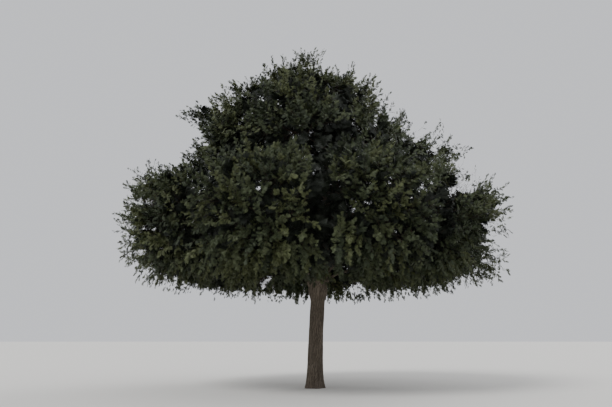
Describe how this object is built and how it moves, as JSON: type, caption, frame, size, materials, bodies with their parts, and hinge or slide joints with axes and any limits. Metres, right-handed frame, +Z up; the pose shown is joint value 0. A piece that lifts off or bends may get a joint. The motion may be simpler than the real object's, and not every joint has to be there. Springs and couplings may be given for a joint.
{
  "type": "umbrella acacia tree",
  "caption": "Grown umbrella acacia with a short, slightly leaning trunk that forks into spreading boughs under a dense, broad, domed canopy, browsed off level underneath.",
  "frame": {"origin": "centre of the flat cut under the trunk, at ground level", "axes": "+Z up along the foot of the trunk, +X towards the side the trunk leans to, which is the right-hand side seen from the front, and the front faces -Y"},
  "size_m": [13.2726, 12.8212, 11.8424],
  "materials": {
    "bark": "dark grey-brown, rough, furrowed bark",
    "foliage": "dark olive green, small matt leaflets"
  },
  "bodies": {
    "root": {"trunk": "bark", "leader_1": "bark", "leader_2": "bark", "leader_3": "bark", "middle_bough_1": "bark", "middle_bough_2": "bark", "middle_bough_3": "bark", "middle_bough_4": "bark", "middle_bough_5": "bark", "middle_bough_6": "bark", "lower_bough_1": "bark", "lower_bough_2": "bark", "lower_bough_3": "bark", "lower_bough_4": "bark", "lower_bough_5": "bark", "lower_bough_6": "bark", "lower_bough_7": "bark", "lower_bough_8": "bark", "lower_bough_9": "bark", "skirt_bough_1": "bark", "skirt_bough_2": "bark", "skirt_bough_3": "bark", "skirt_1_foliage": "foliage", "skirt_2_foliage": "foliage", "skirt_3_foliage": "foliage", "lower_1_foliage": "foliage", "lower_2_foliage": "foliage", "lower_3_foliage": "foliage", "lower_4_foliage": "foliage", "lower_5_foliage": "foliage", "lower_6_foliage": "foliage", "lower_7_foliage": "foliage", "lower_8_foliage": "foliage", "lower_9_foliage": "foliage", "middle_1_foliage": "foliage", "middle_2_foliage": "foliage", "middle_3_foliage": "foliage", "middle_4_foliage": "foliage", "middle_5_foliage": "foliage", "middle_6_foliage": "foliage", "top_1_foliage": "foliage", "top_2_foliage": "foliage", "top_3_foliage": "foliage"}
  },
  "joints": []
}
